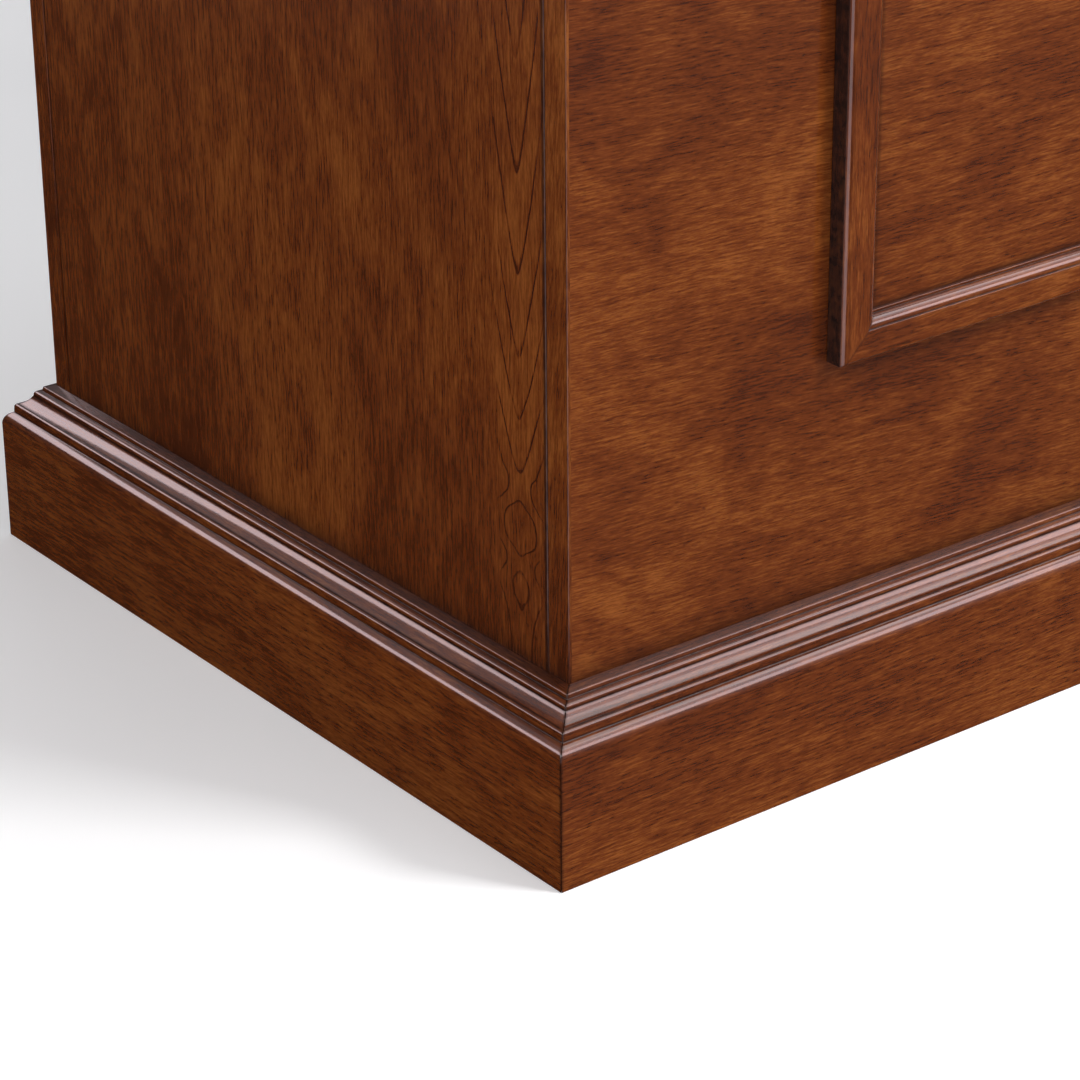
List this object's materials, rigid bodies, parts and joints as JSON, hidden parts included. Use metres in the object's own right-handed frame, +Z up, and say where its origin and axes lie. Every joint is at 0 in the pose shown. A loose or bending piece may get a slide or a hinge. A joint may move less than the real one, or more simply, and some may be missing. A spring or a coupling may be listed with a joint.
{
  "type": "corner desk",
  "caption": "L-shaped executive corner desk in dark cherry: moulded plinth and top, panelled visitor side, drawer pedestals with bail pulls, pencil drawer and a return.",
  "frame": {"origin": "on the floor, under the middle of the desk's outer box", "axes": "+Z up; +Y toward the sitter's side, where the return runs; +X toward the end that carries the return; the visitor side faces -Y"},
  "size_m": [1.829, 1.981, 0.762],
  "materials": {
    "top_veneer": "semi-gloss cherry veneer with dark glaze in the edge moulding",
    "panel_veneer": "semi-gloss cherry veneer, flat-sawn figure",
    "front_veneer": "semi-gloss cherry with dark glaze in the grooves",
    "cherry_solid": "semi-gloss solid cherry mouldings, straight grain, dark glaze",
    "drawer_birch": "clear satin lacquer",
    "runner_steel": "zinc plated",
    "antique_brass": "antiqued, darkened in the recesses"
  },
  "bodies": {
    "carcass": {"main_top": "top_veneer", "return_top": "top_veneer", "visitor_bed_mould": "cherry_solid", "left_bed_mould": "cherry_solid", "right_bed_mould": "cherry_solid", "return_bed_mould": "cherry_solid", "visitor_panel": "panel_veneer", "left_end_panel": "panel_veneer", "right_end_panel": "panel_veneer", "return_back_panel": "panel_veneer", "return_end_panel": "panel_veneer", "corner_gable": "panel_veneer", "return_apron": "cherry_solid", "visitor_raised_panel_1": "front_veneer", "visitor_raised_panel_2": "front_veneer", "visitor_raised_panel_3": "front_veneer", "visitor_plinth": "cherry_solid", "left_end_plinth": "cherry_solid", "right_end_plinth": "cherry_solid", "left_front_plinth": "cherry_solid", "left_knee_plinth": "cherry_solid", "return_back_plinth": "cherry_solid", "return_end_plinth": "cherry_solid", "return_front_plinth": "cherry_solid", "return_knee_plinth": "cherry_solid", "left_knee_side": "panel_veneer", "left_bottom": "panel_veneer", "left_face_frame": "cherry_solid", "return_knee_side": "panel_veneer", "return_bottom": "panel_veneer", "return_face_frame": "cherry_solid", "pencil_drawer_rail_left": "cherry_solid", "pencil_drawer_rail_right": "cherry_solid", "left_drawer_1_runner": "runner_steel", "left_drawer_2_runner": "runner_steel", "left_drawer_3_runner": "runner_steel", "return_drawer_1_runner": "runner_steel", "return_drawer_2_runner": "runner_steel"},
    "pencil_drawer": {"pencil_drawer_front": "front_veneer", "pencil_drawer_box": "drawer_birch"},
    "left_drawer_1": {"left_drawer_1_front": "front_veneer", "left_drawer_1_box": "drawer_birch", "left_drawer_1_pull_plate": "antique_brass"},
    "left_drawer_1_bail": {"left_drawer_1_pull_bail": "antique_brass"},
    "left_drawer_2": {"left_drawer_2_front": "front_veneer", "left_drawer_2_box": "drawer_birch", "left_drawer_2_pull_plate": "antique_brass"},
    "left_drawer_2_bail": {"left_drawer_2_pull_bail": "antique_brass"},
    "left_drawer_3": {"left_drawer_3_front": "front_veneer", "left_drawer_3_box": "drawer_birch", "left_drawer_3_pull_plate": "antique_brass"},
    "left_drawer_3_bail": {"left_drawer_3_pull_bail": "antique_brass"},
    "return_drawer_1": {"return_drawer_1_front": "front_veneer", "return_drawer_1_box": "drawer_birch", "return_drawer_1_pull_plate": "antique_brass"},
    "return_drawer_1_bail": {"return_drawer_1_pull_bail": "antique_brass"},
    "return_drawer_2": {"return_drawer_2_front": "front_veneer", "return_drawer_2_box": "drawer_birch", "return_drawer_2_pull_plate": "antique_brass"},
    "return_drawer_2_bail": {"return_drawer_2_pull_bail": "antique_brass"}
  },
  "joints": [
    {"name": "pencil_drawer_slide", "type": "slide", "parent": "carcass", "child": "pencil_drawer", "axis": [0, 1, 0], "range_m": [0, 0.36]},
    {"name": "left_drawer_1_slide", "type": "slide", "parent": "carcass", "child": "left_drawer_1", "axis": [0, 1, 0], "range_m": [0, 0.42]},
    {"name": "left_drawer_2_slide", "type": "slide", "parent": "carcass", "child": "left_drawer_2", "axis": [0, 1, 0], "range_m": [0, 0.42]},
    {"name": "left_drawer_3_slide", "type": "slide", "parent": "carcass", "child": "left_drawer_3", "axis": [0, 1, 0], "range_m": [0, 0.42]},
    {"name": "return_drawer_1_slide", "type": "slide", "parent": "carcass", "child": "return_drawer_1", "axis": [-1, 0, 0], "range_m": [0, 0.34]},
    {"name": "return_drawer_2_slide", "type": "slide", "parent": "carcass", "child": "return_drawer_2", "axis": [-1, 0, 0], "range_m": [0, 0.34]},
    {"name": "left_drawer_1_bail_hinge", "type": "hinge", "parent": "left_drawer_1", "child": "left_drawer_1_bail", "pos_m": [-0.6305, -0.2574, 0.665], "axis": [1, 0, 0], "range_deg": [0, 150]},
    {"name": "left_drawer_2_bail_hinge", "type": "hinge", "parent": "left_drawer_2", "child": "left_drawer_2_bail", "pos_m": [-0.6305, -0.2574, 0.533], "axis": [1, 0, 0], "range_deg": [0, 150]},
    {"name": "left_drawer_3_bail_hinge", "type": "hinge", "parent": "left_drawer_3", "child": "left_drawer_3_bail", "pos_m": [-0.6305, -0.2574, 0.31], "axis": [1, 0, 0], "range_deg": [0, 150]},
    {"name": "return_drawer_1_bail_hinge", "type": "hinge", "parent": "return_drawer_1", "child": "return_drawer_1_bail", "pos_m": [0.3334, 0.7065, 0.5865], "axis": [0, 1, 0], "range_deg": [0, 150]},
    {"name": "return_drawer_2_bail_hinge", "type": "hinge", "parent": "return_drawer_2", "child": "return_drawer_2_bail", "pos_m": [0.3334, 0.7065, 0.2975], "axis": [0, 1, 0], "range_deg": [0, 150]}
  ]
}
